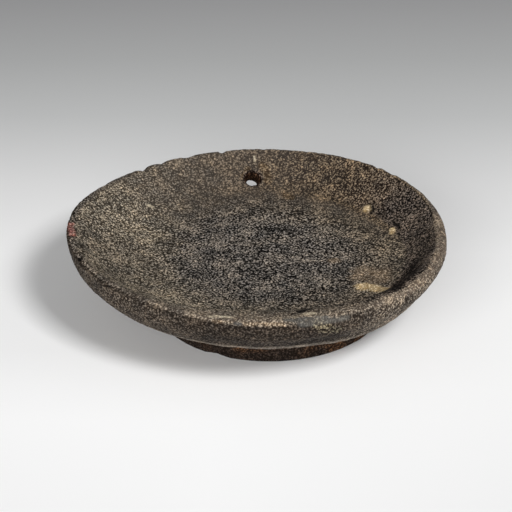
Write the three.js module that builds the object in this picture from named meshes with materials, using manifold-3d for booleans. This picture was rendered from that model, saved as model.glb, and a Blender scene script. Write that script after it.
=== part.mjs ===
// A shallow basalt bowl, carved from one block of fine-pored volcanic stone.
// It has a dished floor, a thick rounded rim, a disc foot set off centre and one hole drilled
// through its back wall. Millimetres, +Z up; the back of the bowl is towards +Y.
// The origin is on the ground, under the middle of the bowl.

import * as THREE from 'three';
import { mergeVertices } from 'three/addons/utils/BufferGeometryUtils.js';
import Module from 'manifold-3d';

// The rim. A table of shares goes once round the bowl in eighths of a turn, from +X by way of
// +Y, and says how a size made by hand grows and shrinks on the way.
const rimReach = 90;
const rimReachShares = [0.988, 1.013, 1.008, 1.001, 1.001, 0.982, 0.994, 0.997];
const rimHeight = 40.4;
const rimHeightShares = [0.993, 1.018, 1.006, 0.995, 1.02, 1.012, 0.987, 0.985];
const lipInset = 3.5;
const lipInsetShares = [0.86, 0.74, 0.74, 1.03, 0.94, 0.97, 1.54, 1.26];
const shoulderDrop = 3;
const shoulderDropShares = [1.27, 1.27, 1.27, 0.6, 0.2, 0.37, 1.17, 1.47];
const lipBreadth = 2.4;
const lipBreadthShares = [0.88, 0.76, 0.76, 1.05, 1.2, 1.6, 4.2, 2.2];
const lipRoll = 1.6;

// The inside: a floor that rises a little to its edge, and a sloping wall up to the rim.
const floorLevel = 24;
const floorRise = 1.5;
const floorReach = 63;
const floorReachShares = [1.08, 1.05, 1.02, 0.95, 0.86, 0.92, 0.91, 1.04];

// The outside: a side that leans in to the belly, an underside and the disc foot.
const bellyDrop = 12.3;
const bellyDropShares = [0.84, 0.94, 1, 1.08, 1.16, 1.15, 0.88, 0.87];
const bellyInset = 6.6;
const bellyInsetShares = [1.17, 1.09, 1, 0.88, 0.73, 0.85, 1.15, 1.2];
const bellyFullness = 5.5;
const bellyLift = 1.5;
const bellyLiftShares = [0.07, 0, 0, 0, 0, 0.35, 0.75, 0.15];
const footReach = 55;
const footHeight = 9.5;
const footFillet = 2;
const footEdge = 1.1;
const footOffset = 5.2;

// The hole, drilled from both faces of the wall, so that it is narrower half way through.
const holeThroatRadius = 3.75;
const holeMouthRadius = 4.1;
const holeFlareRadius = 4.9;
const holeFlareDepth = 0.9;
const holeTurn = THREE.MathUtils.degToRad(92);
const holeDip = THREE.MathUtils.degToRad(51);
const holeSkew = THREE.MathUtils.degToRad(10);
const holeWallShare = 0.5;

// Chips knocked out of the rim's outer edge and out of the foot's lower edge. Each leaves a round
// scallop. Its shares are of a turn, of the deepest bite and of the widest scallop's radius. The
// rim's scallops reach further across the edge than along it.
const rimChipBite = 1.6;
const rimChipScallop = 20;
const rimChipRiseShare = 1.8;
const rimChipStretchShare = 2;
const rimChipShares = [
  { turnShare: 0.118, biteShare: 0.31, scallopShare: 1 },
  { turnShare: 0.134, biteShare: 0.38, scallopShare: 0.2 },
  { turnShare: 0.283, biteShare: 0.88, scallopShare: 0.11 },
  { turnShare: 0.316, biteShare: 0.38, scallopShare: 0.52 },
  { turnShare: 0.342, biteShare: 0.41, scallopShare: 0.32 },
  { turnShare: 0.362, biteShare: 1, scallopShare: 0.22 },
];
const footChipBite = 1.5;
const footChipScallop = 36;
const footChipRiseShare = -1;
const footChipStretchShare = 1;
const footChipShares = [
  { turnShare: 0.64, biteShare: 0.47, scallopShare: 0.2 },
  { turnShare: 0.676, biteShare: 1, scallopShare: 1 },
];

// How finely the shape is cut into faces, and how far a cutter runs past the stone.
const turnSteps = 96;
const spanSteps = 3;
const drillSides = 24;
const chipSides = 36;
const cutOverrun = 4;

// Stops of the section that other features follow, counted from the middle of the floor.
const wallFootStop = 3;
const outerLipStop = 6.5;
const shoulderStop = 8;
const searchStepShare = 0.05;

const darkBasalt = new THREE.MeshStandardMaterial({ color: 0x45403a, roughness: 0.88, metalness: 0 });

// The size at one turn, on a smooth closed curve through its table of shares.
function around(size, shares, turn) {
  const stops = shares.map((share) => new THREE.Vector3(share, 0, 0));
  const ring = new THREE.CatmullRomCurve3(stops, true, 'catmullrom');
  return size * ring.getPoint(THREE.MathUtils.euclideanModulo(turn / (2 * Math.PI), 1)).x;
}

// A point of the section at one turn. Its centre slides towards the foot's as shiftShare grows.
function station(turn, shiftShare, radius, height) {
  const x = footOffset * shiftShare + radius * Math.cos(turn);
  return new THREE.Vector3(x, radius * Math.sin(turn), height);
}

// The sizes of the section at one turn.
function localSizes(turn) {
  const reach = around(rimReach, rimReachShares, turn);
  const inset = around(lipInset, lipInsetShares, turn);
  const breadth = around(lipBreadth, lipBreadthShares, turn);
  const height = around(rimHeight, rimHeightShares, turn);
  const drop = around(shoulderDrop, shoulderDropShares, turn);
  const floor = around(floorReach, floorReachShares, turn);
  const belly = around(bellyDrop, bellyDropShares, turn);
  const lean = around(bellyInset, bellyInsetShares, turn);
  const lift = around(bellyLift, bellyLiftShares, turn);
  return { reach, inset, breadth, height, drop, floor, belly, lean, lift };
}

// The smooth line from the middle of the floor, over the rim and down to the foot.
function section(turn) {
  const { reach, inset, breadth, height, drop, floor, belly, lean, lift } = localSizes(turn);
  const crest = reach - inset;
  const wall = crest - breadth - floor;
  const floorRim = floorLevel + floorRise;
  const climb = height - floorRim;
  const side = height - drop;
  const underReach = (reach - lean + footReach) / 2 + bellyFullness;
  const underHeight = (side - belly + footHeight) / 2 + lift;
  const stops = [
    station(turn, 0, 0, floorLevel),
    station(turn, 0, 0.5 * floor, floorLevel + 0.3 * floorRise),
    station(turn, 0, 0.9 * floor, floorRim),
    station(turn, 0, floor + 0.24 * wall, floorRim + 0.16 * climb),
    station(turn, 0, floor + 0.67 * wall, floorRim + 0.55 * climb),
    station(turn, 0, crest - breadth, height - lipRoll),
    station(turn, 0, crest, height),
    station(turn, 0, crest + 0.7 * inset, height - 0.3 * drop),
    station(turn, 0, reach, side),
    station(turn, 0, reach - 0.3 * lean, side - 0.5 * belly),
    station(turn, 0.25, reach - lean, side - belly),
    station(turn, 0.6, underReach, underHeight),
    station(turn, 1, footReach + footFillet, footHeight + footFillet),
    station(turn, 1, footReach, 0.72 * footHeight),
  ];
  return new THREE.CatmullRomCurve3(stops, false, 'catmullrom');
}

// The section's point at a stop, or part of the way from one stop to the next.
function pointAtStop(stoneLine, stop) {
  return stoneLine.getPoint(stop / (stoneLine.points.length - 1));
}

// The foot's side and its rounded lower edge, below the smooth line.
function footPoints(turn) {
  return [
    station(turn, 1, footReach - 0.1 * footEdge, 0.4 * footHeight),
    station(turn, 1, footReach - 0.3 * footEdge, 0.8 * footEdge),
    station(turn, 1, footReach - 0.6 * footEdge, 0.3 * footEdge),
    station(turn, 1, footReach - footEdge, 0),
  ];
}

// The stone before it is drilled and chipped: rings of points from the middle of the floor to
// the middle of the foot, joined by triangles that face out.
function stoneGeometry() {
  const columns = [];
  for (let step = 0; step < turnSteps; step += 1) {
    const turn = (2 * Math.PI * step) / turnSteps;
    const line = section(turn);
    const rings = line.getPoints((line.points.length - 1) * spanSteps).slice(1);
    columns.push([...rings, ...footPoints(turn)]);
  }
  const ringCount = columns[0].length;
  const points = [new THREE.Vector3(0, 0, floorLevel)];
  for (let ring = 0; ring < ringCount; ring += 1) {
    columns.forEach((column) => points.push(column[ring]));
  }
  const footMiddle = points.push(new THREE.Vector3(footOffset, 0, 0)) - 1;
  const at = (ring, step) => 1 + ring * turnSteps + (step % turnSteps);
  const faces = [];
  for (let step = 0; step < turnSteps; step += 1) {
    faces.push(0, at(0, step), at(0, step + 1));
    faces.push(footMiddle, at(ringCount - 1, step + 1), at(ringCount - 1, step));
    for (let ring = 0; ring < ringCount - 1; ring += 1) {
      faces.push(at(ring, step), at(ring + 1, step), at(ring + 1, step + 1));
      faces.push(at(ring, step), at(ring + 1, step + 1), at(ring, step + 1));
    }
  }
  const geometry = new THREE.BufferGeometry().setFromPoints(points);
  geometry.setIndex(faces);
  return geometry;
}

// The drill's shape: two short cones that meet at the throat, along +Y from its own middle.
function drillGeometry(wallThickness) {
  const half = wallThickness / 2;
  const end = half + cutOverrun;
  const profile = [
    new THREE.Vector2(0, -end),
    new THREE.Vector2(holeFlareRadius, -end),
    new THREE.Vector2(holeFlareRadius, -half),
    new THREE.Vector2(holeMouthRadius, holeFlareDepth - half),
    new THREE.Vector2(holeThroatRadius, 0),
    new THREE.Vector2(holeMouthRadius, half - holeFlareDepth),
    new THREE.Vector2(holeFlareRadius, half),
    new THREE.Vector2(holeFlareRadius, end),
    new THREE.Vector2(0, end),
  ];
  return new THREE.LatheGeometry(profile, drillSides);
}

// Which way the drill points: outwards at the hole's turn, dipped, and skewed to the left.
function drillDirection() {
  const flat = Math.cos(holeDip);
  const heading = holeTurn + holeSkew;
  return new THREE.Vector3(flat * Math.cos(heading), flat * Math.sin(heading), -Math.sin(holeDip));
}

// The drill laid through the wall, from its mouth on the inner slope.
function placedDrill(stoneLine) {
  const mouth = pointAtStop(stoneLine, wallFootStop + holeWallShare);
  const direction = drillDirection();
  const thickness = wallAlong(stoneLine, mouth, direction);
  const geometry = drillGeometry(thickness);
  const up = new THREE.Vector3(0, 1, 0);
  const turned = new THREE.Quaternion().setFromUnitVectors(up, direction);
  geometry.applyQuaternion(turned);
  const middle = mouth.clone().addScaledVector(direction, thickness / 2);
  return geometry.translate(middle.x, middle.y, middle.z);
}

// How far it is through the wall from the mouth: to the outer line's point nearest the drill.
function wallAlong(stoneLine, mouth, direction) {
  const ray = new THREE.Ray(mouth, direction);
  const lastStop = stoneLine.points.length - 1;
  let nearest = pointAtStop(stoneLine, shoulderStop);
  for (let stop = shoulderStop; stop < lastStop; stop += searchStepShare) {
    const point = pointAtStop(stoneLine, stop);
    if (ray.distanceToPoint(point) < ray.distanceToPoint(nearest)) nearest = point;
  }
  return nearest.clone().sub(mouth).dot(direction);
}

// One round scallop that bites into an edge from outside. riseShare says how far above or below
// the edge it comes from, for each step outwards, and stretchShare how many times as far it
// reaches across the edge as along it.
function chipGeometry(turn, edge, bite, radius, riseShare, stretchShare) {
  const outwards = new THREE.Vector3(Math.cos(turn), Math.sin(turn), riseShare).normalize();
  const along = new THREE.Vector3(-Math.sin(turn), Math.cos(turn), 0);
  const across = new THREE.Vector3().crossVectors(outwards, along).multiplyScalar(stretchShare);
  const placement = new THREE.Matrix4().makeBasis(outwards, along, across);
  placement.setPosition(edge.addScaledVector(outwards, radius - bite));
  return new THREE.SphereGeometry(radius, chipSides, chipSides).applyMatrix4(placement);
}

// One of the rim's chips, at the upper outer edge.
function rimChipGeometry({ turnShare, biteShare, scallopShare }) {
  const turn = 2 * Math.PI * turnShare;
  const edge = pointAtStop(section(turn), outerLipStop);
  const bite = rimChipBite * biteShare;
  const radius = rimChipScallop * scallopShare;
  return chipGeometry(turn, edge, bite, radius, rimChipRiseShare, rimChipStretchShare);
}

// One of the foot's chips, at the lower edge.
function footChipGeometry({ turnShare, biteShare, scallopShare }) {
  const turn = 2 * Math.PI * turnShare;
  const edge = station(turn, 1, footReach, 0);
  const bite = footChipBite * biteShare;
  const radius = footChipScallop * scallopShare;
  return chipGeometry(turn, edge, bite, radius, footChipRiseShare, footChipStretchShare);
}

const wasm = await Module();
wasm.setup();

// A closed geometry as a solid that can be cut.
function toSolid(geometry) {
  const bare = geometry.clone();
  bare.deleteAttribute('normal');
  bare.deleteAttribute('uv');
  const merged = mergeVertices(bare);
  const vertProperties = merged.attributes.position.array;
  const triVerts = Uint32Array.from(merged.index.array);
  return new wasm.Manifold(new wasm.Mesh({ numProp: 3, vertProperties, triVerts }));
}

// A solid as a geometry again, with one set of corners.
function toGeometry(solid) {
  const mesh = solid.getMesh();
  const geometry = new THREE.BufferGeometry();
  geometry.setAttribute('position', new THREE.BufferAttribute(mesh.vertProperties, 3));
  geometry.setIndex(new THREE.BufferAttribute(mesh.triVerts, 1));
  return geometry;
}

// The whole bowl: the stone, drilled and chipped, moved so that its origin is under its middle.
function bowlGeometry() {
  const cutters = [
    placedDrill(section(holeTurn)),
    ...rimChipShares.map(rimChipGeometry),
    ...footChipShares.map(footChipGeometry),
  ];
  const stone = toSolid(stoneGeometry());
  const carved = cutters.reduce((solid, cutter) => solid.subtract(toSolid(cutter)), stone);
  const geometry = toGeometry(carved);
  geometry.computeBoundingBox();
  const middle = geometry.boundingBox.getCenter(new THREE.Vector3());
  geometry.translate(-middle.x, -middle.y, -geometry.boundingBox.min.z);
  geometry.computeVertexNormals();
  return geometry;
}

const bowl = new THREE.Group();
const stoneBowl = new THREE.Mesh(bowlGeometry(), darkBasalt);
stoneBowl.name = 'stone_bowl';
bowl.add(stoneBowl);

export default bowl;
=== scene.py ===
"""A shallow bowl carved from one block of basalt, standing on a pale table under soft studio light.

The stone's skin is one surface of two parameters: the turn round the bowl and the stop along its
section, which runs from the middle of the floor, over the rim and down to the middle of the foot.
The sizes of the bowl and of the camera's place are in millimetres, and times MM where they are
used. The frame, the table and the lights are in metres.
"""

import math

import bpy
import numpy as np
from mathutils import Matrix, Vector


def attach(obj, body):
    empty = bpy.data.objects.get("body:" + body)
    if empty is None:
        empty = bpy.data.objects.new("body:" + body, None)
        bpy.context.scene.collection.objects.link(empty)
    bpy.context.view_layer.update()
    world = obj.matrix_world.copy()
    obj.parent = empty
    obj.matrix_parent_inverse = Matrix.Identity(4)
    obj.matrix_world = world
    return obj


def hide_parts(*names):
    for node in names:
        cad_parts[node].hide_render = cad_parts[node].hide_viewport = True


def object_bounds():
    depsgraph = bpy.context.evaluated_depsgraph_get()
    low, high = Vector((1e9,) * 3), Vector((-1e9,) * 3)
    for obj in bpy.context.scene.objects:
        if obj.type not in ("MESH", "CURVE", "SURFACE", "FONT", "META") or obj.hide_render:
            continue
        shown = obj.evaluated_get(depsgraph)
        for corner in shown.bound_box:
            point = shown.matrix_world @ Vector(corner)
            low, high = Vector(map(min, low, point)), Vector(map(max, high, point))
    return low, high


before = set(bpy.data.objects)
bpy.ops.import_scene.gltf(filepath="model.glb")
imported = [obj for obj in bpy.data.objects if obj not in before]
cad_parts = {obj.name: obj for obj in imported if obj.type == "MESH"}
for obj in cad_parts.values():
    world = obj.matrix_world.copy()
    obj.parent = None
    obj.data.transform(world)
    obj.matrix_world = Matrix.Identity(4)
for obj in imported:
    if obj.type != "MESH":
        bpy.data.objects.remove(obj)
cad_low, cad_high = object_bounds()

MM = 0.001
TAU = 2 * math.pi

# The rim. A table of shares goes once round the bowl in eighths of a turn, from +X by way of +Y.
RIM_REACH = 90
RIM_REACH_SHARES = (0.988, 1.013, 1.008, 1.001, 1.001, 0.982, 0.994, 0.997)
RIM_HEIGHT = 40.4
RIM_HEIGHT_SHARES = (0.993, 1.018, 1.006, 0.995, 1.02, 1.012, 0.987, 0.985)
LIP_INSET = 3.5
LIP_INSET_SHARES = (0.86, 0.74, 0.74, 1.03, 0.94, 0.97, 1.54, 1.26)
SHOULDER_DROP = 3
SHOULDER_DROP_SHARES = (1.27, 1.27, 1.27, 0.6, 0.2, 0.37, 1.17, 1.47)
LIP_BREADTH = 2.4
LIP_BREADTH_SHARES = (0.88, 0.76, 0.76, 1.05, 1.2, 1.6, 4.2, 2.2)
LIP_ROLL = 1.6

# The inside.
FLOOR_LEVEL = 24
FLOOR_RISE = 1.5
FLOOR_REACH = 63
FLOOR_REACH_SHARES = (1.08, 1.05, 1.02, 0.95, 0.86, 0.92, 0.91, 1.04)

# The outside and the foot.
BELLY_DROP = 12.3
BELLY_DROP_SHARES = (0.84, 0.94, 1, 1.08, 1.16, 1.15, 0.88, 0.87)
BELLY_INSET = 6.6
BELLY_INSET_SHARES = (1.17, 1.09, 1, 0.88, 0.73, 0.85, 1.15, 1.2)
BELLY_FULLNESS = 5.5
BELLY_LIFT = 1.5
BELLY_LIFT_SHARES = (0.07, 0, 0, 0, 0, 0.35, 0.75, 0.15)
FOOT_REACH = 55
FOOT_HEIGHT = 9.5
FOOT_FILLET = 2
FOOT_EDGE = 1.1
FOOT_OFFSET = 5.2

# The hole drilled through the back wall.
HOLE_THROAT_RADIUS = 3.75
HOLE_MOUTH_RADIUS = 4.1
HOLE_FLARE_RADIUS = 4.9
HOLE_FLARE_DEPTH = 0.9
HOLE_TURN = math.radians(92)
HOLE_DIP = math.radians(51)
HOLE_SKEW = math.radians(10)
HOLE_MOUTH_STOP = 3.5
HOLE_END_STOP = 9.7

# How drilled the hole's wall is at its ends, from 0 to 1, and how far in it is wholly so. The same
# share darkens the wall's colour, as painted shade that deepens into the hole.
HOLE_EDGE_SHARE = 0.35
HOLE_EDGE_DEPTH = 2.5

# Stops of the section, counted from the middle of the floor.
FLOOR_STOP = 2
CREST_STOP = 6
SHOULDER_STOP = 8
BELLY_STOP = 10
FOOT_TOP_STOP = 13
FOOT_EDGE_STOP = 17
SOLE_STOP = 18

# How finely the skin is cut: the floor is a square grid bent into a disc, and rings go on from it.
# Their spacing is kept along the section, which is sampled for that at some turns. The windows for
# the hole are this far from their middle to a side, in quads, and the sleeve between them has rows
# of skin and of wall.
GRID = 158
RING_ROWS = 106
SOLE_ROWS = 3
VISIBLE_SPACING = 1.0
UNDERSIDE_SPACING = 2.2
SECTION_SAMPLES = 1501
SAMPLED_TURNS = 16
WINDOW_HALF = 10
SLEEVE_SKIN_ROWS = 6
SLEEVE_WALL_ROWS = 30

# Chips out of the rim's outer edge and the foot's lower edge: the turn's share, the bite, and the
# radius of the round scallop that it leaves. A chip bites in from a slope that rises this far for
# each step outwards, and is this many times as far across the edge as along it.
RIM_CHIP_STOP = 6.5
RIM_CHIP_RISE, FOOT_CHIP_RISE = 1.8, -1
RIM_CHIP_STRETCH, FOOT_CHIP_STRETCH = 2, 1
RIM_CHIPS = (
    (0.118, 0.5, 20.0), (0.134, 0.6, 4.0), (0.283, 1.4, 2.2), (0.316, 0.6, 10.5), (0.342, 0.65, 6.5),
    (0.362, 1.6, 4.5), (0.205, 0.3, 3.0), (0.245, 0.3, 2.4), (0.09, 0.4, 3.4),
)
FOOT_CHIPS = ((0.64, 0.7, 7.2), (0.676, 1.5, 36.0), (0.78, 0.4, 3.0), (0.15, 0.8, 5.0))

# The relief of the worked skin starts this far outside the smooth one. Random waves are added,
# each a height, a size, and a salt that tells one random pattern from another: slow ones from
# shaping, closer ones from dressing, ripples, and more on the rim, in a band of stops.
SKIN_LIFT = 0.2
SHAPING_WAVES = (0.34, 24, 11)
DRESSING_WAVES = (0.16, 9, 12)
RIPPLES = (0.13, 2.4, 13)
RIM_WAVES, RIM_WAVE_BAND = (0.14, 5, 14), (5.6, 8.4, 0.5)

# Peck marks and open pores are dents: their depth, and their spacing, salt, the share of the places
# that have one, and the smallest and the largest radius. Outside, the pores are deeper by this
# amount. Their painted shade is this strong, and this much stronger outside.
PECK_DEPTH, PECKS = 0.24, (2.8, 20, 0.9, 1.0, 1.7)
PORE_DEPTH, PORES = 0.35, (4.4, 30, 0.25, 0.8, 1.5)
OUTER_PORE_DEPTH = 0.4
PORE_SHADE_SHARE, OUTER_PORE_SHADE_SHARE = 0.2, 0.6

# Where the relief is softer: how pitted the outside is round the bowl, and how much the ripples
# and pecks lose where the stone is worn or the outside isn't pitted, and all relief on the sole.
PITTED_SHARES = (0.8, 0.6, 0.5, 0.5, 0.5, 0.4, 0.9, 1.1)
WORN_LOSS_SHARE, UNPITTED_LOSS_SHARE, SOLE_LOSS_SHARE = 0.5, 0.4, 0.7

# How far the drilled wall stands into the hole, and its waves.
DRILLED_LIFT, DRILLED_WAVES = 0.6, (0.25, 1.7, 15)

# How rough a chip's scallop is: waves whose height is a share of its radius, up to a most.
CHIP_WAVE_SHARE, CHIP_WAVE_MOST, CHIP_WAVE_SIZE, CHIP_SALT = 0.05, 0.2, 1.9, 50

# Where zones of colour begin and end on the section: stops, at even steps of the turn.
TAN_SLOPE_END = (5.6, 5.6, 5.6, 5.6, 5.4, 4.7, 5.6, 5.6)
# The dark wall's zone is darker stone with painted shade, on the right inner wall.
DARK_WALL_END = (4.9, 5.3, 5.3, 5.3, 5.3, 5.3, 5.3, 5.3, 5.3, 5.3, 5.3, 5.3, 5.3, 5.3, 6.0, 5.9)
# The outer skin's zone is its smoother dark skin, darkened further as painted shade on the flank.
OUTER_SKIN_START = (7.5, 7.5, 7.5, 7.5, 7.5, 7.4, 7.3, 7.2, 7.0, 6.6, 6.35, 6.5, 7.0, 6.7, 7.2, 7.5)
WORN_RIM_START = (5.3, 6.1, 6.1, 5.9, 5.9, 5.9, 5.9, 5.9, 5.9, 5.8, 5.8, 5.7, 5.6, 5.7, 6.5, 6.3)
WORN_RIM_END = (7.4, 7.4, 7.4, 7.4, 7.4, 7.4, 7.2, 7.0, 6.8, 6.6, 6.5, 6.7, 6.9, 6.6, 7.2, 7.5)

# How strong the zones are, at even steps of the turn. Colours mix by a strength cut off at 0 and
# 1, so a share beyond these makes the bare or the full stretch longer.
WARM_FLOOR_SHARES = (0.8, 1, 0.5, 0, 0.2, 0.3, 0.3, 0.6)
BROWN_WALL_SHARES = (0.3, 0.9, 1, 0.95, 0.2, 0.4, 0.7, 0.5)
RUST_WALL_SHARES = (0.1, 0.8, 0.25, 0, 0, 0, 0, 0)
TAN_SLOPE_SHARES = (0.2, 0, 0, 0, 0, 0.1, 0.35, 1, 0.6, 0.75, 1, 0.6, 0.55, 0.25, 0.1, 0.1)
DARK_WALL_SHARES = (0.9, 1.1, 0.55, 0.2, 0, 0, 0, 0, 0, 0, 0, 0, 0, 0.2, 0.9, 1)
PALE_FLANK_SHARES = (
    1.1, 0.8, 0.5, 0.4, 0.3, 0.25, 0.2, 0.25, 0.1, 0.2, 0.3, 0.1, -0.25, 0, 1.15, 1.2)
WORN_RIM_SHARES = (
    1.1, 0.75, 0.4, 0.33, 0.3, 0.3, 0.3, 0.2, 0.1, 0.15, 0.25, 0.5, 0.6, 0.4, 0.95, 1.1)

# The rust on the foot comes in patches: none where these waves are below the first of two heights,
# and full where they are above the second.
RUST_PATCHES, RUST_PATCH_RISE = (1, 9, 42), (-0.1, 0.5)

# Marks of use and of the stone itself, and strokes of painted shade and highlight. Each is a stroke
# over the skin: what it is, its path as (turn in degrees, stop), its half width and how far it
# stands proud of the skin, or sinks in.
MARKS = (
    ("tan_crust", ((40.6, 3.03), (40.2, 2.98)), 2.1, 0.9),
    ("tan_crust", ((20.8, 2.8), (19.4, 2.71)), 1.5, 0.8),
    ("tan_crust", ((329.0, 1.83), (329.7, 2.03)), 3.1, 0.5),
    ("tan_crust", ((329.7, 2.03), (329.3, 2.28), (328.7, 2.75)), 2.9, 0.4),
    ("tan_stain", ((343.0, 1.6), (344.5, 1.9)), 6.0, 0),
    ("tan_stain", ((339.8, 1.58), (338.4, 2.03)), 5.0, 0),
    ("tan_stain", ((357, 1.06), (357.5, 1.09)), 2.4, 0.6),
    ("rust_stain", ((77.2, 2.55), (75.0, 2.38)), 2.0, 0),
    ("rust_stain", ((88.2, 4.2), (86.8, 3.9), (86.0, 3.38)), 2.0, 0),
    ("rust_stain", ((95.4, 3.62), (93.6, 4.05)), 1.3, 0.2),
    ("tan_stain", ((257, 6.85), (266, 7.0), (277, 7.0)), 0.8, 0),
    ("blue_wear", ((278.2, 6.3), (283.6, 6.5), (289.6, 6.75)), 1.5, 0),
    ("blue_wear", ((263.5, 7.0), (265, 7.0)), 1.0, 0),
    ("blue_wear", ((282, 7.1), (290, 7.2), (296, 7.2)), 1.3, 0),
    ("yellow_lichen", ((287.2, 7.6), (289.5, 8.15), (293.0, 8.6)), 2.3, -0.2),
    # Painted shadows and a crevice's shade beside the two crusts, over real dents.
    ("hollow_shade", ((39.2, 3.22), (37.6, 3.02)), 0.7, -0.8),
    ("hollow_shade", ((24.1, 3.1), (22.2, 3.18), (19.8, 3.12)), 0.9, -1.0),
    # Painted shade on the inner wall under the front-right lip, with darker patina.
    ("patina_and_shade", ((346, 3.55), (341, 3.4), (335, 3.3), (328, 3.3)), 3.2, -0.5),
    ("patina_and_shade", ((336, 4.4), (329, 4.7), (323, 5.1), (317, 5.5)), 3.3, 0),
    # Painted shade in a crack inside the front lip and in pits on the rim, over real dents.
    ("hollow_shade", ((280.5, 5.6), (283.8, 5.4)), 0.9, -0.3),
    ("hollow_shade", ((283.8, 5.3), (286.8, 5.15)), 2.0, -0.4),
    ("hollow_shade", ((269.4, 7.34), (270, 7.34)), 1.0, -0.9),
    ("hollow_shade", ((219.9, 6.91), (220.3, 6.93)), 0.9, -0.9),
    ("hollow_shade", ((200.2, 6.47), (200.8, 6.5)), 1.2, -0.9),
    ("scuff_and_crest_highlight", ((140.4, 3.48), (139.4, 3.32)), 0.8, 0.3),
    ("scuff_and_crest_highlight", ((91.2, 4.76), (91.0, 4.5)), 0.5, 0.1),
    # A painted highlight along the crest of the front lip.
    ("scuff_and_crest_highlight", ((255.5, 6.24), (261.6, 5.97), (270.6, 5.87), (279, 5.95)), 0.5, 0.2),
    ("scuff_and_crest_highlight", ((280.6, 5.95), (284.4, 5.85), (287.6, 5.8)), 0.6, 0.3),
    ("red_ochre", ((177.8, 7.0), (181.3, 6.56), (184.9, 6.17)), 1.6, 0),
)

# The marks that let the stone show through, and how much of them there is.
THIN_MARK_SHARES = {"yellow_lichen": 0.22, "red_ochre": 0.7}

# The waves that fray the marks' edges. Their heights are shares of a mark's half width.
FRAY_WAVES = ((0.3, 1.6, 40), (0.2, 4, 41))


def curve_point(before, here, after, beyond, t):
    """A Catmull-Rom curve at the share t of the way from here to after. Its slope at each of them is
    half of what lies between its two neighbours."""
    bend = 2 * before - 5 * here + 4 * after - beyond + t * (3 * (here - after) + beyond - before)
    return here + 0.5 * t * (after - before + t * bend)


def around(size, shares, turn):
    """A size at each turn: a closed Catmull-Rom curve through its table of shares."""
    table = np.array(shares, float)
    place = np.mod(turn / TAU, 1) * len(table)
    start = np.floor(place).astype(int)
    t = place - start
    before, here, after, beyond = (table[(start + step) % len(table)] for step in (-1, 0, 1, 2))
    return size * curve_point(before, here, after, beyond, t)


def section_stops(turn):
    """The stops of the section at each turn, as rows of how far the centre has slid towards the
    foot's (a share), radius and height."""
    reach = around(RIM_REACH, RIM_REACH_SHARES, turn)
    inset = around(LIP_INSET, LIP_INSET_SHARES, turn)
    breadth = around(LIP_BREADTH, LIP_BREADTH_SHARES, turn)
    height = around(RIM_HEIGHT, RIM_HEIGHT_SHARES, turn)
    drop = around(SHOULDER_DROP, SHOULDER_DROP_SHARES, turn)
    floor = around(FLOOR_REACH, FLOOR_REACH_SHARES, turn)
    belly = around(BELLY_DROP, BELLY_DROP_SHARES, turn)
    lean = around(BELLY_INSET, BELLY_INSET_SHARES, turn)
    lift = around(BELLY_LIFT, BELLY_LIFT_SHARES, turn)
    crest = reach - inset
    wall = crest - breadth - floor
    floor_rim = FLOOR_LEVEL + FLOOR_RISE
    climb = height - floor_rim
    side = height - drop
    under_reach = (reach - lean + FOOT_REACH) / 2 + BELLY_FULLNESS
    under_height = (side - belly + FOOT_HEIGHT) / 2 + lift
    stops = (
        (0, 0, FLOOR_LEVEL),
        (0, 0.5 * floor, FLOOR_LEVEL + 0.3 * FLOOR_RISE),
        (0, 0.9 * floor, floor_rim),
        (0, floor + 0.24 * wall, floor_rim + 0.16 * climb),
        (0, floor + 0.67 * wall, floor_rim + 0.55 * climb),
        (0, crest - breadth, height - LIP_ROLL),
        (0, crest, height),
        (0, crest + 0.7 * inset, height - 0.3 * drop),
        (0, reach, side),
        (0, reach - 0.3 * lean, side - 0.5 * belly),
        (0.25, reach - lean, side - belly),
        (0.6, under_reach, under_height),
        (1, FOOT_REACH + FOOT_FILLET, FOOT_HEIGHT + FOOT_FILLET),
        (1, FOOT_REACH, 0.72 * FOOT_HEIGHT),
        (1, FOOT_REACH - 0.1 * FOOT_EDGE, 0.4 * FOOT_HEIGHT),
        (1, FOOT_REACH - 0.3 * FOOT_EDGE, 0.8 * FOOT_EDGE),
        (1, FOOT_REACH - 0.6 * FOOT_EDGE, 0.3 * FOOT_EDGE),
        (1, FOOT_REACH - FOOT_EDGE, 0),
        (1, 0, 0),
    )
    return np.array([[value + np.zeros_like(turn) for value in stop] for stop in stops])


def smooth_step(low, high, value):
    """0 below low, 1 above high, and an S-shaped rise between them."""
    t = np.clip((value - low) / (high - low), 0, 1)
    return t * t * (3 - 2 * t)


def skin_point(turn, stop):
    """The smooth skin at each (turn, stop): a Catmull-Rom curve through the section's stops as far
    as the foot's top, straight lines from there on, swung round the bowl by the turn."""
    stops = section_stops(turn).transpose(2, 0, 1)
    last = len(stops[0]) - 1
    start = np.clip(np.floor(stop).astype(int), 0, last - 1)
    t = (stop - start)[:, None]
    row = np.arange(len(turn))
    here = stops[row, start]
    after = stops[row, start + 1]
    before = np.where(start[:, None] > 0, stops[row, np.maximum(start - 1, 0)], 2 * here - after)
    curve_ends = (start >= FOOT_TOP_STOP - 1)[:, None]
    beyond = np.where(curve_ends, 2 * after - here, stops[row, np.minimum(start + 2, last)])
    curved = curve_point(before, here, after, beyond, t)
    straight = here + t * (after - here)
    point = np.where((stop < FOOT_TOP_STOP)[:, None], curved, straight)
    x = FOOT_OFFSET * point[:, 0] + point[:, 1] * np.cos(turn)
    y = point[:, 1] * np.sin(turn)
    return np.stack([x, y, point[:, 2]], 1)


def one_point(turn, stop):
    """The smooth skin's point at one turn and one stop."""
    return skin_point(np.full(1, turn), np.full(1, stop))[0]


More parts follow.
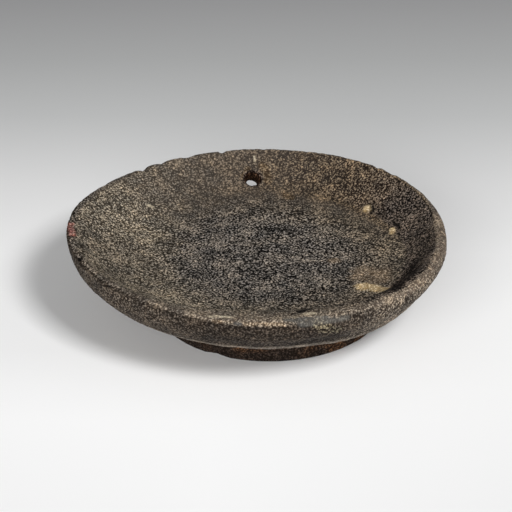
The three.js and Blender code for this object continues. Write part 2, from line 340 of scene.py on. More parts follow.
def disc_grid(count):
    """A square grid bent into a disc: each square round its middle becomes a circle, and its sides
    become quarter turns. Gives the turn and the share of the radius of each corner."""
    line = np.linspace(-1, 1, count + 1)
    a, b = np.meshgrid(line, line)
    share = np.maximum(abs(a), abs(b))
    along_x = np.where(a > 0, 0, TAU / 2) + TAU / 8 * b / np.where(a == 0, 1, a)
    along_y = np.where(b > 0, TAU / 4, -TAU / 4) - TAU / 8 * a / np.where(b == 0, 1, b)
    return np.where(abs(a) >= abs(b), along_x, along_y), share


def border(ids):
    """The corners on the border of a grid of corners, once round, as the turn grows."""
    return np.concatenate([ids[:-1, -1], ids[-1, :0:-1], ids[:0:-1, 0], ids[0, :-1]])


def ring_stops():
    """The stops of the rings: even steps along the mean section, wider on the underside."""
    fine = np.linspace(FLOOR_STOP, FOOT_EDGE_STOP, SECTION_SAMPLES)
    turns = np.linspace(0, TAU, SAMPLED_TURNS, endpoint=False)
    lines = [skin_point(np.full_like(fine, turn), fine) for turn in turns]
    steps = np.mean([np.linalg.norm(np.diff(line, axis=0), axis=1) for line in lines], axis=0)
    under = smooth_step(BELLY_STOP, BELLY_STOP + 0.5, (fine[1:] + fine[:-1]) / 2)
    spacing = VISIBLE_SPACING + (UNDERSIDE_SPACING - VISIBLE_SPACING) * under
    reached = np.concatenate([[0], np.cumsum(steps / spacing)])
    return np.interp(np.linspace(0, reached[-1], RING_ROWS), reached, fine)


def closed_quads(ids):
    """The quads between the rows of a grid of corners whose columns close on themselves."""
    ahead = np.roll(ids, -1, axis=1)
    return np.stack([ids[:-1], ids[1:], ahead[1:], ahead[:-1]], 2)


def drill_axes():
    """The drill's direction, outwards and down through the wall, and two directions across it."""
    heading = HOLE_TURN + HOLE_SKEW
    flat = math.cos(HOLE_DIP)
    along = Vector((flat * math.cos(heading), flat * math.sin(heading), -math.sin(HOLE_DIP)))
    side = Vector((0, 0, 1)).cross(along).normalized()
    return np.array(along), np.array(side), np.array(along.cross(side))


def slide_onto_line(origin, turn, stop):
    """Slides each (turn, stop) over the skin until its point lies on the line through origin along
    the drill, by Newton's method on the two distances across it."""
    across = np.stack(drill_axes()[1:], 1)
    nudge, rounds = 1e-4, 8
    for _ in range(rounds):
        point = skin_point(turn, stop)
        miss = (point - origin) @ across
        by_turn = (skin_point(turn + nudge, stop) - point) @ across / nudge
        by_stop = (skin_point(turn, stop + nudge) - point) @ across / nudge
        spread = by_turn[:, 0] * by_stop[:, 1] - by_turn[:, 1] * by_stop[:, 0]
        turn = turn - (miss[:, 0] * by_stop[:, 1] - miss[:, 1] * by_stop[:, 0]) / spread
        stop = stop - (by_turn[:, 0] * miss[:, 1] - by_turn[:, 1] * miss[:, 0]) / spread
    return turn, stop


class Skin:
    """The corners of the stone's mesh, each with its turn, its stop, its point, and how drilled it
    is: 0 on the worked skin, and up to 1 deep in the hole, where the painted shade is darkest."""

    def __init__(self):
        self.turn, self.stop, self.drilled = np.empty(0), np.empty(0), np.empty(0)
        self.points = np.empty((0, 3))

    def add(self, turn, stop, points=None, drilled=0.0):
        """Adds corners, on the smooth skin unless points says where, and gives their numbers."""
        flat_turn = np.ravel(turn)
        flat_stop = np.broadcast_to(stop, np.shape(turn)).ravel()
        first = len(self.turn)
        if points is None:
            points = skin_point(flat_turn, flat_stop)
        self.turn = np.concatenate([self.turn, flat_turn])
        self.stop = np.concatenate([self.stop, flat_stop])
        flat_drilled = np.broadcast_to(drilled, np.shape(turn)).ravel()
        self.drilled = np.concatenate([self.drilled, flat_drilled])
        self.points = np.concatenate([self.points, points.reshape(-1, 3)])
        return first + np.arange(len(flat_turn)).reshape(np.shape(turn))

    def keep(self, ids):
        """Keeps these corners and drops the others."""
        self.turn, self.stop, self.drilled = self.turn[ids], self.stop[ids], self.drilled[ids]
        self.points = self.points[ids]


def sleeve_wall(mouth, mouth_edge, end_edge, mouth_angle, end_angle):
    """The hole's wall between its two drilled edges: rings round the drill's line whose radius
    shrinks to the throat and opens in a short flare at each end. Gives the rings' points, their
    shares of the way and how drilled they are, which also sets how dark their painted shade is."""
    along, side, up = drill_axes()
    share = np.linspace(0, 1, SLEEVE_WALL_ROWS)[:, None]
    near = (mouth_edge - mouth) @ along
    far = (end_edge - mouth) @ along
    way = near + share * (far - near)
    from_end = np.minimum(way - near, far - way)
    angle = mouth_angle + share * (end_angle - mouth_angle)
    radius = HOLE_THROAT_RADIUS + (HOLE_MOUTH_RADIUS - HOLE_THROAT_RADIUS) * abs(2 * share - 1)
    radius = radius + (HOLE_FLARE_RADIUS - HOLE_MOUTH_RADIUS) * np.exp(-from_end / HOLE_FLARE_DEPTH)
    across = np.cos(angle)[..., None] * side + np.sin(angle)[..., None] * up
    points = mouth + way[..., None] * along + radius[..., None] * across
    gain = (1 - HOLE_EDGE_SHARE) * smooth_step(0, HOLE_EDGE_DEPTH, from_end)
    return points, share, HOLE_EDGE_SHARE + gain


def cut_window(rings, quads, row, column):
    """Takes a square of quads out of the rings, and gives the corners once round the window."""
    rows = slice(row - WINDOW_HALF, row + WINDOW_HALF)
    quads[rows, column - WINDOW_HALF:column + WINDOW_HALF] = -1
    window = rings[row - WINDOW_HALF:row + WINDOW_HALF + 1]
    return border(window[:, column - WINDOW_HALF:column + WINDOW_HALF + 1])


def add_sleeve_end(skin, loop, mouth, at_turn, at_stop):
    """One end of the sleeve: a window's corners in order round the drill's line, their angles round
    it, the drilled edge at those angles, as turns and stops, and rows of skin between the two."""
    side, up = drill_axes()[1:]
    offset = skin.points[loop] - mouth
    angle = np.arctan2(offset @ up, offset @ side)
    order = np.argsort(angle)
    loop, angle = loop[order], angle[order]
    circle = np.cos(angle)[:, None] * side + np.sin(angle)[:, None] * up
    start = np.full(len(loop), at_turn), np.full(len(loop), at_stop)
    edge = slide_onto_line(mouth + HOLE_FLARE_RADIUS * circle, *start)
    shares = np.linspace(0, 1, SLEEVE_SKIN_ROWS + 2)[1:-1, None]
    skin_rows = skin.add(
        skin.turn[loop] + shares * (edge[0] - skin.turn[loop]),
        skin.stop[loop] + shares * (edge[1] - skin.stop[loop]),
    )
    return loop, angle, edge, skin_rows


def add_drilled_sleeve(skin, rings, turns, stops, quads):
    """Cuts a square window in the rings at each end of the hole, and joins the two windows by a
    sleeve: skin from the first window to the drilled edge, the hole's wall, and skin again."""
    mouth = one_point(HOLE_TURN, HOLE_MOUTH_STOP)
    far = slide_onto_line(mouth, np.full(1, HOLE_TURN), np.full(1, HOLE_END_STOP))
    ends = []
    for at_turn, at_stop in ((HOLE_TURN, HOLE_MOUTH_STOP), (far[0][0], far[1][0])):
        row = int(np.abs(stops - at_stop).argmin())
        column = int(np.abs(turns - at_turn).argmin())
        loop = cut_window(rings, quads, row, column)
        ends.append(add_sleeve_end(skin, loop, mouth, at_turn, at_stop))
    (first, first_angle, first_edge, first_rows), (last, last_angle, last_edge, last_rows) = ends
    points, share, drilled = sleeve_wall(
        mouth, skin_point(*first_edge), skin_point(*last_edge), first_angle, last_angle
    )
    wall_stop = first_edge[1] + share * (last_edge[1] - first_edge[1])
    wall = skin.add(np.full(wall_stop.shape, HOLE_TURN), wall_stop, points, drilled)
    return closed_quads(np.concatenate([first[None], first_rows, wall, last_rows[::-1], last[None]]))


def build_skin():
    """The whole smooth skin: its corners, its quads, and the fan in the middle of the sole."""
    skin = Skin()
    turn, share = disc_grid(GRID)
    disc = skin.add(turn, FLOOR_STOP * share)
    disc_quads = np.stack([disc[:-1, :-1], disc[:-1, 1:], disc[1:, 1:], disc[1:, :-1]], 2)
    sole_stops = np.linspace(FOOT_EDGE_STOP, SOLE_STOP, SOLE_ROWS + 2)[1:-1]
    stops = np.concatenate([ring_stops(), sole_stops])
    turns = -TAU / 8 + TAU * np.arange(4 * GRID) / (4 * GRID)
    rings = np.concatenate([border(disc)[None], skin.add(*np.meshgrid(turns, stops[1:]))])
    sole_middle = skin.add(np.zeros(1), SOLE_STOP)[0]
    ring_quads = closed_quads(rings)
    sleeve_quads = add_drilled_sleeve(skin, rings, turns, stops, ring_quads)
    ring_quads = ring_quads.reshape(-1, 4)
    quads = np.concatenate(
        [disc_quads.reshape(-1, 4), ring_quads[ring_quads[:, 0] >= 0], sleeve_quads.reshape(-1, 4)]
    )
    last = rings[-1]
    fan = np.stack([last, np.full_like(last, sole_middle), np.roll(last, -1)], 1)
    used, numbers = np.unique(np.concatenate([quads.ravel(), fan.ravel()]), return_inverse=True)
    skin.keep(used)
    return skin, numbers[:quads.size].reshape(-1, 4), numbers[quads.size:].reshape(-1, 3)


def corner_normals(points, quads, fan):
    """The direction out of the stone at each corner: the sum of its faces' area vectors."""
    total = np.zeros_like(points)
    for faces in (quads, fan):
        corners = points[faces]
        area = np.cross(corners[:, 2] - corners[:, 0], corners[:, -1] - corners[:, 1])
        for corner in faces.T:
            for axis in range(3):
                total[:, axis] += np.bincount(corner, area[:, axis], len(points))
    return total / np.linalg.norm(total, axis=1, keepdims=True)


# The factors that scramble a cell's number: large odd numbers with well scattered bits.
CELL_FACTORS = (73856093, 19349663, 83492791)
SALT_FACTOR = 2654435761
SCRAMBLE_FACTORS = (1274126177, 668265263)


def cell_hash(cell, salt):
    """A number from 0 to 1 for each whole-numbered cell, scrambled by multiplying and shifting, and
    another one for each salt."""
    x, y, z = (cell[..., axis].astype(np.int64) * CELL_FACTORS[axis] for axis in range(3))
    mixed = x ^ y ^ z ^ (salt * SALT_FACTOR)
    for factor in SCRAMBLE_FACTORS:
        mixed = (mixed ^ (mixed >> 15)) * factor & 0x7FFFFFFF
    return ((mixed ^ (mixed >> 13)) & 0xFFFFFF) / 0xFFFFFF


def waves(points, height, size, salt):
    """Smooth random waves of that height, up and down: a random number in each corner of a lattice
    of that size, blended between the corners with an S-shaped step."""
    place = points / size
    cell = np.floor(place)
    t = place - cell
    t = t * t * (3 - 2 * t)
    total = np.zeros(len(points))
    for corner in np.ndindex(2, 2, 2):
        step = np.array(corner)
        total += np.prod(np.where(step, t, 1 - t), axis=1) * cell_hash(cell + step, salt)
    return height * (2 * total - 1)


def dents(points, size, salt, share, smallest, largest):
    """Round hollows scattered one to a lattice cell, in a share of the cells, as a depth from 0 to
    1: a bowl-shaped dip of a random radius round each cell's own random middle."""
    place = points / size
    cell = np.floor(place)
    depth = np.zeros(len(points))
    for step in np.ndindex(3, 3, 3):
        near = cell + np.array(step) - 1
        middle = near + np.stack([cell_hash(near, salt + axis) for axis in (1, 2, 3)], 1)
        away = np.linalg.norm(place - middle, axis=1) * size
        radius = smallest + (largest - smallest) * cell_hash(near, salt + 4) ** 2
        dip = np.clip(1 - (away / radius) ** 2, 0, 1)
        depth = np.maximum(depth, np.where(cell_hash(near, salt + 5) < share, dip, 0))
    return depth


def band(value, low, high, soft):
    """1 between low and high, with an S-shaped fall as wide as soft outside each of them."""
    return smooth_step(low - soft, low, value) * (1 - smooth_step(high, high + soft, value))


def near_path(points, path, half_width, ragged):
    """1 on a broken line over the skin, half at its half width and 0 half as far out again, with a
    ragged edge."""
    turns = np.array([math.radians(degrees) for degrees, _ in path])
    corners = skin_point(turns, np.array([stop for _, stop in path], float))
    away = np.full(len(points), np.inf)
    for start, end in zip(corners[:-1], corners[1:]):
        line = end - start
        share = np.clip((points - start) @ line / (line @ line), 0, 1)
        away = np.minimum(away, np.linalg.norm(points - start - share[:, None] * line, axis=1))
    return 1 - smooth_step(0.5, 1.5, away / half_width + ragged)


def on_skin(skin):
    """1 on the worked skin and 0 on the hole's wall."""
    return 1 - smooth_step(0, 0.3, skin.drilled)


def zone_weights(skin):
    """How strong each zone of colour is at each corner: a band of the section between two stops,
    times the zone's shares round the bowl. The rust on the foot is patchy, and the drilled zone
    follows how drilled the hole's wall is, as painted shade that darkens deeper into the hole."""
    turn, stop, skinned = skin.turn, skin.stop, on_skin(skin)

    def zone(start, end, fade, shares=(1,)):
        """A band of the section that fades at both ends, times its shares round the bowl."""
        return skinned * band(stop, start, end, fade) * around(1, shares, turn)

    tan_end = around(1, TAN_SLOPE_END, turn)
    dark_end = around(1, DARK_WALL_END, turn)
    outer_start = around(1, OUTER_SKIN_START, turn)
    worn_start = around(1, WORN_RIM_START, turn)
    worn_end = around(1, WORN_RIM_END, turn)
    flank_start = np.minimum(outer_start, 7) + 0.8
    foot = zone(11.8, SOLE_STOP, 0.6)
    return {
        "warm_floor": zone(2.2, SOLE_STOP, 1.3, WARM_FLOOR_SHARES),
        "brown_wall": zone(2.7, 5.6, 1.5, BROWN_WALL_SHARES),
        "rust_wall": zone(3.0, 5.6, 0.9, RUST_WALL_SHARES),
        "tan_slope": zone(2.3, tan_end, 1.1, TAN_SLOPE_SHARES),
        # Darker stone with painted shade on the right inner wall.
        "dark_wall_and_shade": zone(3.0, dark_end, 0.35, DARK_WALL_SHARES),
        # The smoother dark outer skin, darkened further as painted shade on the flank.
        "outer_skin_and_shade": zone(outer_start + 0.4, SOLE_STOP, 0.4),
        "pale_flank": zone(flank_start, 10.2, 0.8, PALE_FLANK_SHARES),
        # A painted highlight along the lowest turn of the belly.
        "belly_highlight": zone(10.55, 11.3, 0.12),
        "foot_shade": foot,
        "foot_rust": foot * smooth_step(*RUST_PATCH_RISE, waves(skin.points, *RUST_PATCHES)),
        "worn_rim": zone(worn_start, worn_end, 0.4, WORN_RIM_SHARES),
        # Painted shade in the hole, darker deeper in, over reddish-brown stone.
        "drilled": smooth_step(0, 0.6, skin.drilled),
    }


def mark_weights(skin):
    """How strong each kind of mark is at each corner, and how far the marks stand out there: each
    stroke's nearness, the strongest of a kind and the sum of the heights."""
    ragged = sum(waves(skin.points, *pattern) for pattern in FRAY_WAVES)
    weights = {name: np.zeros(len(skin.stop)) for name, *_ in MARKS}
    relief = np.zeros(len(skin.stop))
    for name, path, half_width, height in MARKS:
        near = near_path(skin.points, path, half_width, ragged) * on_skin(skin)
        weights[name] = np.maximum(weights[name], near)
        relief += height * near
    for name, share in THIN_MARK_SHARES.items():
        weights[name] *= share
    return weights, relief


def outside_share(skin):
    """0 inside the bowl and 1 outside it, with an S-shaped rise over the rim."""
    return smooth_step(CREST_STOP, SHOULDER_STOP, skin.stop)


def open_pores(skin):
    """The depth, from 0 to 1, of open pores scattered over the skin and left out of the hole."""
    return dents(skin.points, *PORES) * (1 - skin.drilled)


def hand_relief(skin, worn, pores):
    """How far the worked skin lies outside the smooth one: waves from shaping and dressing by hand
    less peck marks, softer where the stone is worn, and open pores, deeper outside. The hole's
    wall stands in by its own amount and waves."""
    points, turn, stop = skin.points, skin.turn, skin.stop
    sole = smooth_step(FOOT_EDGE_STOP - 0.5, FOOT_EDGE_STOP, stop)
    outside = outside_share(skin)
    pitted = around(1, PITTED_SHARES, turn)
    rough = (1 - WORN_LOSS_SHARE * worn) * (1 - UNPITTED_LOSS_SHARE * outside * (1 - pitted))
    relief = SKIN_LIFT + waves(points, *SHAPING_WAVES) + waves(points, *DRESSING_WAVES)
    relief += band(stop, *RIM_WAVE_BAND) * waves(points, *RIM_WAVES)
    relief += rough * waves(points, *RIPPLES)
    relief -= rough * PECK_DEPTH * dents(points, *PECKS)
    relief -= (PORE_DEPTH + OUTER_PORE_DEPTH * outside * pitted) * pores
    relief += skin.drilled * (DRILLED_LIFT + waves(points, *DRILLED_WAVES))
    return relief * (1 - SOLE_LOSS_SHARE * sole)


def scallop(points, middle, radius, across, stretch):
    """Presses the points inside a rough egg out onto its surface, as a chip leaves the stone. The
    egg is a ball that is drawn out along one direction."""
    offset = points - middle
    drawn_out = (offset @ across)[:, None] * across
    away = np.linalg.norm(offset + drawn_out * (1 / stretch - 1), axis=1)
    height = min(CHIP_WAVE_SHARE * radius, CHIP_WAVE_MOST)
    rough = radius + waves(points, height, CHIP_WAVE_SIZE, CHIP_SALT)
    inside = away < rough
    points[inside] = middle + offset[inside] * (rough / away)[inside, None]


def rim_edge(turn):
    """Where the rim's chips bite, at one turn: a point of the skin just outside the crest."""
    return one_point(turn, RIM_CHIP_STOP)


def foot_edge(turn):
    """The foot's sharp lower corner at one turn: on the foot's circle, at the height of the table."""
    return np.array([FOOT_OFFSET + FOOT_REACH * math.cos(turn), FOOT_REACH * math.sin(turn), 0])


def chip_edges(points):
    """Knocks the chips out of the rim and the foot: each scallop's ball lies outside the edge, as
    far as its radius less the bite."""
    for chips, edge, rise, stretch in (
        (RIM_CHIPS, rim_edge, RIM_CHIP_RISE, RIM_CHIP_STRETCH),
        (FOOT_CHIPS, foot_edge, FOOT_CHIP_RISE, FOOT_CHIP_STRETCH),
    ):
        for turn_share, bite, radius in chips:
            turn = TAU * turn_share
            outwards = np.array([math.cos(turn), math.sin(turn), rise]) / math.hypot(1, rise)
            across = np.cross(outwards, (-math.sin(turn), math.cos(turn), 0))
            scallop(points, edge(turn) + outwards * (radius - bite), radius, across, stretch)


def put_in_scene(name, data):
    """Puts a mesh, a lamp or a camera in the scene, as an object at the origin."""
    thing = bpy.data.objects.new(name, data)
    bpy.context.scene.collection.objects.link(thing)
    return thing


def make_stone():
    """The bowl as one mesh, with the strength of each kind of surface as an attribute: the smooth
    skin moved along its normals by its relief, chipped, and centred where the CAD bowl is."""
    skin, quads, fan = build_skin()
    marks, mark_relief = mark_weights(skin)
    zones = {**zone_weights(skin), **marks}
    pores = open_pores(skin)
    pore_shade = PORE_SHADE_SHARE + OUTER_PORE_SHADE_SHARE * outside_share(skin)
    # Pores take the hollows' painted shade, stronger outside.
    zones["hollow_shade"] = np.maximum(zones["hollow_shade"], pore_shade * pores)
    relief = hand_relief(skin, zones["worn_rim"], pores) + mark_relief
    points = skin.points + corner_normals(skin.points, quads, fan) * relief[:, None]
    chip_edges(points)
    points[:, 2] = np.maximum(points[:, 2], 0)
    middle = (np.array(cad_low) + np.array(cad_high)) / 2 / MM
    smooth_middle = (skin.points.max(0) + skin.points.min(0)) / 2
    points[:, :2] += (middle - smooth_middle)[:2]
    mesh = bpy.data.meshes.new("basalt_bowl_stone")
    mesh.from_pydata((points * MM).tolist(), [], quads.tolist() + fan.tolist())
    mesh.shade_smooth()
    for name, strength in zones.items():
        attribute = mesh.attributes.new(name, "FLOAT", "POINT")
        attribute.data.foreach_set("value", strength.astype(np.float32))
    return put_in_scene("basalt_bowl_stone", mesh)


def linear(code):
    """An sRGB hex colour as linear red, green, blue and alpha."""
    parts = [int(code[start:start + 2], 16) / 255 for start in (1, 3, 5)]
    return tuple(p / 12.92 if p <= 0.04045 else ((p + 0.055) / 1.055) ** 2.4 for p in parts) + (1,)


def add(tree, kind, inputs=None, ramp=None, **settings):
    """Adds a node to a tree: settings on it, values or links into its inputs, and for a ramp its
    (place, colour) pairs in rising order."""
    node = tree.nodes.new("ShaderNode" + kind)
    for name, value in settings.items():
        setattr(node, name, value)
    for name, value in (inputs or {}).items():
        if isinstance(value, bpy.types.NodeSocket):
            tree.links.new(value, node.inputs[name])
        else:
            node.inputs[name].default_value = value
    if ramp:
        elements = node.color_ramp.elements
        for element, (place, colour) in zip(elements, (ramp[0], ramp[-1])):
            element.position = place
            element.color = colour
        for place, colour in ramp[1:-1]:
            elements.new(place).color = colour
    return node


# The sockets of a Mix node that mixes colours.
MIX_SHARE, MIX_A, MIX_B, MIXED = 0, 6, 7, 2


def mix(tree, share, first, second, **settings):
    """Two colours mixed by a share, or blended as the settings say, with a Mix node."""
    inputs = {MIX_SHARE: share, MIX_A: first, MIX_B: second}
    return add(tree, "Mix", inputs, data_type="RGBA", **settings).outputs[MIXED]


def multiply_add(tree, value, factor, extra):
    """A value times a factor plus something extra, with a Math node."""
    return add(tree, "Math", {0: value, 1: factor, 2: extra}, operation="MULTIPLY_ADD").outputs[0]


# The grains of the stone: how wide the fine and the coarse ones are, in millimetres, drawn a
# little coarser than the finest real ones so that they show. The coarse ones and the clouds shift
# the fine ones by their shares. Tones below the dark one are all dark and above the light one all
# light. The relief is how high the bump makes them, and how much of it shows.
FINE_GRAIN = 0.8
COARSE_GRAIN = 1.15
COARSE_SHARE = 0.3
CLOUD_WIDTH = 9
CLOUD_SHARE = 0.2
DARK_TONE, LIGHT_TONE = 0.38, 0.68
GRAIN_RELIEF = 0.9
GRAIN_RELIEF_SHARE = 0.8

# The width of the ragged noise that frays the edges of the surfaces.
FRAY_WIDTH = 1.4

# What the coarse grains and the clouds multiply the colour by, from their lowest to their highest.
# Only the highest of the coarse grains are bright: pale crystals in the stone, brightened further as
# painted glints.
CRYSTAL_AND_GLINT_TINTS = (
    (0.0, (0.95, 0.97, 0.98, 1)), (0.3, (0.96, 0.96, 0.96, 1)), (0.72, (0.97, 0.96, 0.95, 1)),
    (1.0, (1.75, 1.68, 1.58, 1)),
)
CLOUD_TINTS = ((0.32, (0.91, 0.93, 0.97, 1)), (0.68, (1.13, 1.08, 1.02, 1)))

# How the stone shines: it is rough all over, and the light grains shine more than the dark ones.
STONE_ROUGHNESS = 0.75
DARK_SHINE, LIGHT_SHINE = 0.04, 0.35

# The colours of the light and the dark grains in each kind of surface, from the floor's charcoal
# on, and how ragged its edge is. A later one covers the ones before it.
FLOOR_LIGHT, FLOOR_DARK = "#b3aaa0", "#0b0a09"
SURFACES = (
    ("warm_floor", "#b9a88f", "#130f0c", 0.3),
    ("brown_wall", "#776d62", "#3f3933", 0.3),
    ("rust_wall", "#a28a68", "#241b14", 0.4),
    ("tan_slope", "#d9cbb4", "#3b352d", 0.3),
    # Darker stone with painted shade on the right inner wall.
    ("dark_wall_and_shade", "#8b7e73", "#080605", 0.2),
    # The smoother dark outer skin, darkened further as painted shade on the flank.
    ("outer_skin_and_shade", "#51473d", "#1c1713", 0.1),
    ("pale_flank", "#aea190", "#332c26", 0.2),
    # A painted highlight along the lowest turn of the belly.
    ("belly_highlight", "#9c9286", "#5d554c", 0.2),
    ("foot_shade", "#3d3027", "#19130f", 0.1),
    ("foot_rust", "#714f32", "#241912", 0.5),
    ("worn_rim", "#b0a28f", "#564c43", 0.3),
    # The hole's wall: reddish-brown stone, darkened as painted shade deeper into the hole.
    ("drilled", "#5e4029", "#170d08", 0.1),
    ("tan_stain", "#c0ad95", "#514538", 0.5),
    ("rust_stain", "#8b7961", "#382d22", 0.5),
    ("tan_crust", "#f8e4c0", "#a38c66", 0.6),
    ("blue_wear", "#676560", "#464441", 0.5),
    ("yellow_lichen", "#d8cda8", "#14100d", 3.0),
    # Pale scuffs on the walls, and a painted highlight along the front lip's crest.
    ("scuff_and_crest_highlight", "#e8dcc2", "#a69a84", 0.3),
    ("red_ochre", "#ce9186", "#704841", 1.5),
    # Darker patina with painted shade under the front-right lip.
    ("patina_and_shade", "#40362f", "#070505", 0.6),
    # Painted shade in dents, pits, cracks and pores, and beside the crusts.
    ("hollow_shade", "#181310", "#050404", 0.3),
)


def new_material(name):
    """A material with nodes, its node tree and the shader in it."""
    material = bpy.data.materials.new(name)
    material.use_nodes = True
    return material, material.node_tree, material.node_tree.nodes["Principled BSDF"]


def layered_colours(tree, ragged):
    """The colours of the light grains and of the dark ones: each surface's own pair, laid over the
    ones before it as far as its attribute reaches. Ragged noise, from 0 to 1, frays its edge."""
    light, dark = linear(FLOOR_LIGHT), linear(FLOOR_DARK)
    for name, light_code, dark_code, edge in SURFACES:
        reach = add(tree, "Attribute", attribute_name=name).outputs["Fac"]
        frayed = multiply_add(tree, ragged, 2 * edge, -edge)
        share = multiply_add(tree, reach, frayed, reach)
        light = mix(tree, share, light, linear(light_code))
        dark = mix(tree, share, dark, linear(dark_code))
    return light, dark


def pecked_basalt():
    """Basalt pecked with a hammerstone and worn by use: fine light and dark grains over it all, the
    colours of both shifting from the charcoal floor to the brown walls and the rusty foot.

    The height is fine noise less a share of the way to the next coarse grain's middle, and clouds
    added to it make the tone. The tone picks between the dark and the light colour.
    """
    material, tree, shader = new_material("pecked_basalt")
    place = add(tree, "TexCoord").outputs["Object"]
    fine = add(tree, "TexNoise", {
        "Vector": place, "Scale": 1 / (FINE_GRAIN * MM), "Detail": 2.5, "Roughness": 0.6})
    coarse = add(tree, "TexVoronoi", {"Vector": place, "Scale": 1 / (COARSE_GRAIN * MM)})
    cloud = add(tree, "TexNoise", {"Vector": place, "Scale": 1 / (CLOUD_WIDTH * MM), "Detail": 3.0})
    ragged = add(tree, "TexNoise", {"Vector": place, "Scale": 1 / (FRAY_WIDTH * MM), "Detail": 2.0})
    height = multiply_add(tree, coarse.outputs["Distance"], -COARSE_SHARE, fine.outputs["Fac"])
    tone = multiply_add(tree, cloud.outputs["Fac"], CLOUD_SHARE, height)
    grain = add(tree, "MapRange", {"Value": tone, "From Min": DARK_TONE, "From Max": LIGHT_TONE},
                interpolation_type="SMOOTHSTEP").outputs["Result"]
    light, dark = layered_colours(tree, ragged.outputs["Fac"])
    colour = mix(tree, grain, dark, light)
    grains, clouds = coarse.outputs["Color"], cloud.outputs["Fac"]
    for pattern, tints in ((grains, CRYSTAL_AND_GLINT_TINTS), (clouds, CLOUD_TINTS)):
        tint = add(tree, "ValToRGB", {"Fac": pattern}, ramp=tints).outputs["Color"]
        colour = mix(tree, 1.0, colour, tint, blend_type="MULTIPLY")
    tree.links.new(colour, shader.inputs["Base Color"])
    bump = add(tree, "Bump", {
        "Height": height, "Strength": GRAIN_RELIEF_SHARE, "Distance": GRAIN_RELIEF * MM})
    tree.links.new(bump.outputs["Normal"], shader.inputs["Normal"])
    shine = add(tree, "MapRange", {"Value": grain, "To Min": DARK_SHINE, "To Max": LIGHT_SHINE})
    tree.links.new(shine.outputs["Result"], shader.inputs["Specular IOR Level"])
    shader.inputs["Roughness"].default_value = STONE_ROUGHNESS
    return material


# The table, in metres: its greys at shares of the way from its front to its back, and the
# stretches to the left and to the front over which it becomes this much whiter. The greys are
# painted light and shade, greyer where the studio light falls off towards the back, and the
# whiter corner at the left of the front is a painted pool of light.
TABLE_HALF = 3
TABLE_FRONT, TABLE_BACK = -0.2, 0.4
TABLE_GREYS = (
    (0.05, "#e8e8e8"), (0.2, "#f4f4f4"), (0.42, "#fbfbfb"), (0.55, "#ededed"), (0.7, "#d2d3d3"),
    (0.84, "#c0c1c1"), (1.0, "#b1b1b2"),
)
WHITER_LEFT = (0.12, -0.02)
WHITER_FRONT = (-0.045, -0.105)
WHITER = 1.1
TABLE_ROUGHNESS = 0.9
TABLE_SHINE = 0.1


def progress(tree, value, start, end):
    """How far a value is on its way from start to end, from 0 to 1, with a Map Range node."""
    inputs = {"Value": value, "From Min": start, "From Max": end}
    return add(tree, "MapRange", inputs).outputs["Result"]


def table_paper():
    """Matt pale paper with painted light and shade: greyer towards the back and whitest at the left
    of the front.
    """
    material, tree, shader = new_material("studio_paper")
    place = add(tree, "TexCoord").outputs["Object"]
    spot = add(tree, "SeparateXYZ", {"Vector": place}).outputs
    back = progress(tree, spot["Y"], TABLE_FRONT, TABLE_BACK)
    greys = [(share, linear(code)) for share, code in TABLE_GREYS]
    colour = add(tree, "ValToRGB", {"Fac": back}, ramp=greys).outputs["Color"]
    left = progress(tree, spot["X"], *WHITER_LEFT)
    front = progress(tree, spot["Y"], *WHITER_FRONT)
    corner = add(tree, "Math", {0: left, 1: front}, operation="MULTIPLY").outputs[0]
    whiter = (WHITER, WHITER, WHITER, 1)
    lifted = mix(tree, corner, colour, whiter, blend_type="MULTIPLY", clamp_result=True)
    tree.links.new(lifted, shader.inputs["Base Color"])
    shader.inputs["Roughness"].default_value = TABLE_ROUGHNESS
    shader.inputs["Specular IOR Level"].default_value = TABLE_SHINE
    return material


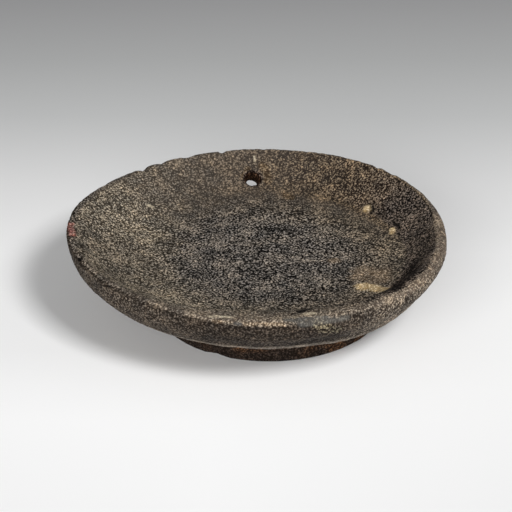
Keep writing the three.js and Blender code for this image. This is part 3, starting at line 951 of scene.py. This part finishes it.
def add_table():
    """A flat table top of pale paper, with its middle under the bowl."""
    half = TABLE_HALF
    mesh = bpy.data.meshes.new("studio_table")
    corners = [(-half, -half, 0), (half, -half, 0), (half, half, 0), (-half, half, 0)]
    mesh.from_pydata(corners, [], [(0, 1, 2, 3)])
    mesh.materials.append(table_paper())
    put_in_scene("studio_table", mesh)


def add_soft_box(name, heading, height, distance, power, size):
    """A square soft box that faces the bowl, at a heading round it and a height above the table,
    both in degrees. Its distance and size are in metres, and its power in watts."""
    lamp = bpy.data.lights.new(name, "AREA")
    lamp.energy = power
    lamp.size = size
    box = put_in_scene(name, lamp)
    turn, rise = math.radians(heading), math.radians(height)
    way = Vector((math.cos(rise) * math.cos(turn), math.cos(rise) * math.sin(turn), math.sin(rise)))
    box.location = distance * way
    box.rotation_euler = (-way).to_track_quat("-Z", "Y").to_euler()


def add_world(strength):
    """Even light from all round, as in a white studio."""
    world = bpy.data.worlds.new("studio")
    world.use_nodes = True
    background = world.node_tree.nodes["Background"]
    background.inputs["Color"].default_value = (1, 1, 1, 1)
    background.inputs["Strength"].default_value = strength
    bpy.context.scene.world = world


# The camera: how far above the table's level it looks from, in degrees, what it looks at and from
# how far, in millimetres, and its lens.
CAMERA_TILT = math.radians(28)
CAMERA_TARGET = (-0.32, -0.6, 26.17)
CAMERA_DISTANCE = 1015
LENS_LENGTH = 100
SENSOR_WIDTH = 24


def add_camera():
    """The camera, 28 degrees above the table and about a metre away, straight before the bowl."""
    lens = bpy.data.cameras.new("camera")
    lens.lens = LENS_LENGTH
    lens.sensor_width = SENSOR_WIDTH
    lens.sensor_fit = "HORIZONTAL"
    camera = put_in_scene("camera", lens)
    way = Vector((0, -math.cos(CAMERA_TILT), math.sin(CAMERA_TILT)))
    camera.location = Vector(CAMERA_TARGET) * MM + CAMERA_DISTANCE * MM * way
    camera.rotation_euler = (TAU / 4 - CAMERA_TILT, 0, 0)
    bpy.context.scene.camera = camera


stone = make_stone()
stone.data.materials.append(pecked_basalt())
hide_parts("stone_bowl")
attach(stone, "root")
add_table()
add_soft_box("key_box", heading=-54, height=46, distance=1.65, power=19.5, size=0.45)
add_soft_box("fill_box", heading=-110, height=15, distance=2.4, power=66, size=1.8)
add_world(strength=0.15)
add_camera()
bpy.context.scene.view_settings.view_transform = "Standard"
